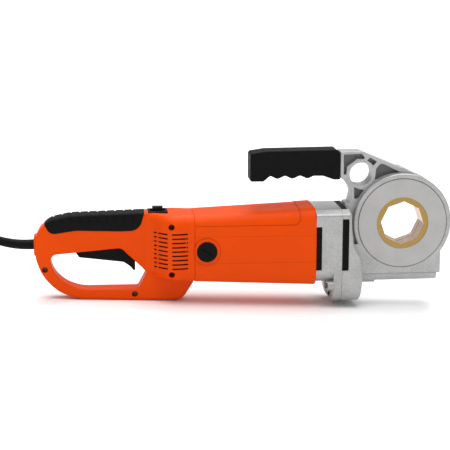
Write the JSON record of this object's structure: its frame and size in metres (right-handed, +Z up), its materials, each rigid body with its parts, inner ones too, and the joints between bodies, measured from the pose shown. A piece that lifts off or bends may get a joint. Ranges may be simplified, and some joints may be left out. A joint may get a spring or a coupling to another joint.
{
  "type": "pipe threading machine",
  "caption": "Hand-held electric pipe threading machine with D-shaped rear handle, top handle and an octagonal die-head socket turned through a worm drive.",
  "frame": {"origin": "on the floor under the middle of the machine, its cord left out", "axes": "+Z up, +X along the machine from the rear handle to the die head, +Y to the left of a user who holds it"},
  "size_m": [1.0545, 0.1685, 0.2646],
  "materials": {
    "orange_plastic": "moulded glass-filled nylon, orange-red, fine satin texture",
    "grip_rubber": "black soft-touch elastomer, fine matt grain",
    "black_plastic": "black moulded nylon",
    "cord_rubber": "black rubber sheath",
    "cast_aluminium": "die-cast and shot-blasted, fine grain",
    "machined_aluminium": "die-cast disc with a turned rim",
    "bronze": "machined bronze",
    "gear_steel": "ground and hobbed steel",
    "screw_steel": "zinc-plated screws",
    "bearing_steel": "polished bearing rings with dark seals",
    "lamination_steel": "stacked electrical steel",
    "copper": "enamelled copper wire",
    "brass": "turned brass",
    "carbon": "pressed carbon",
    "dark_plastic": "moulded thermoset",
    "gasket_fibre": "pressed fibre sheet"
  },
  "bodies": {
    "body": {"brush_caps": "black_plastic", "brush_holders": "brass", "capacitor": "dark_plastic", "carbon_brushes": "carbon", "case_bolts": "screw_steel", "case_gasket": "gasket_fibre", "case_inserts": "black_plastic", "case_studs": "screw_steel", "cord_clamp": "dark_plastic", "cord_coil": "cord_rubber", "cord_tail": "cord_rubber", "countershaft_front_bearing": "bearing_steel", "countershaft_rear_bearing": "bearing_steel", "field_coils": "copper", "gearcase_front": "cast_aluminium", "gearcase_rear": "cast_aluminium", "grip_cover": "grip_rubber", "handle_core": "gear_steel", "handle_screws": "screw_steel", "head_cover": "machined_aluminium", "inner_lead": "cord_rubber", "motor_front_bearing": "bearing_steel", "motor_housing": "orange_plastic", "motor_rear_bearing": "bearing_steel", "outlet_grilles": "black_plastic", "plug_body": "black_plastic", "plug_pins": "brass", "power_cord": "cord_rubber", "rear_housing_left": "orange_plastic", "rear_housing_right": "orange_plastic", "reversing_bezel": "black_plastic", "reversing_switch": "dark_plastic", "stator_core": "lamination_steel", "strain_relief": "grip_rubber", "terminal_block": "dark_plastic", "thrust_washers": "bronze", "top_handle": "grip_rubber", "trigger_pin": "gear_steel", "trigger_spring": "gear_steel", "trigger_switch": "dark_plastic", "wiring_board": "dark_plastic", "worm_end_plug": "black_plastic", "worm_front_bearing": "bearing_steel", "worm_rear_bearing": "bearing_steel"},
    "trigger": {"trigger": "black_plastic"},
    "reversing_slider": {"reversing_slider": "black_plastic"},
    "armature": {"armature_shaft": "gear_steel", "armature_core": "lamination_steel", "armature_windings": "copper", "commutator": "copper", "cooling_fan": "dark_plastic"},
    "countershaft": {"countershaft": "gear_steel", "countershaft_gear": "gear_steel"},
    "worm": {"worm_shaft": "gear_steel", "worm_gear": "gear_steel", "gear_key": "gear_steel"},
    "spindle": {"worm_wheel": "bronze"}
  },
  "joints": [
    {"name": "spindle_spin", "type": "hinge", "parent": "body", "child": "spindle", "pos_m": [0.26605, 0, 0.14435], "axis": [0, 1, 0], "continuous": true},
    {"name": "worm_spin", "type": "hinge", "parent": "body", "child": "worm", "pos_m": [0.242, 0, 0.07328], "axis": [0.9991, 0, 0.0419], "continuous": true},
    {"name": "countershaft_spin", "type": "hinge", "parent": "body", "child": "countershaft", "pos_m": [0.14466, 0, 0.12725], "axis": [0.9991, 0, 0.0419], "continuous": true},
    {"name": "armature_spin", "type": "hinge", "parent": "body", "child": "armature", "pos_m": [0.00083, 0, 0.0962], "axis": [0.9991, 0, 0.0419], "continuous": true},
    {"name": "trigger_pull", "type": "hinge", "parent": "body", "child": "trigger", "pos_m": [-0.27449, 0, 0.08616], "axis": [0, -1, 0], "range_deg": [0, 8], "stiffness_Nm_per_rad": 2, "springref_deg": -4.01},
    {"name": "reversing_slide", "type": "slide", "parent": "body", "child": "reversing_slider", "axis": [0.9991, 0, 0.0419], "range_m": [-0.004, 0.004]}
  ],
  "couplings": [
    {"joint": "worm_spin", "follows": "spindle_spin", "ratio": 23},
    {"joint": "countershaft_spin", "follows": "spindle_spin", "ratio": -88.167},
    {"joint": "armature_spin", "follows": "spindle_spin", "ratio": 352.67}
  ]
}
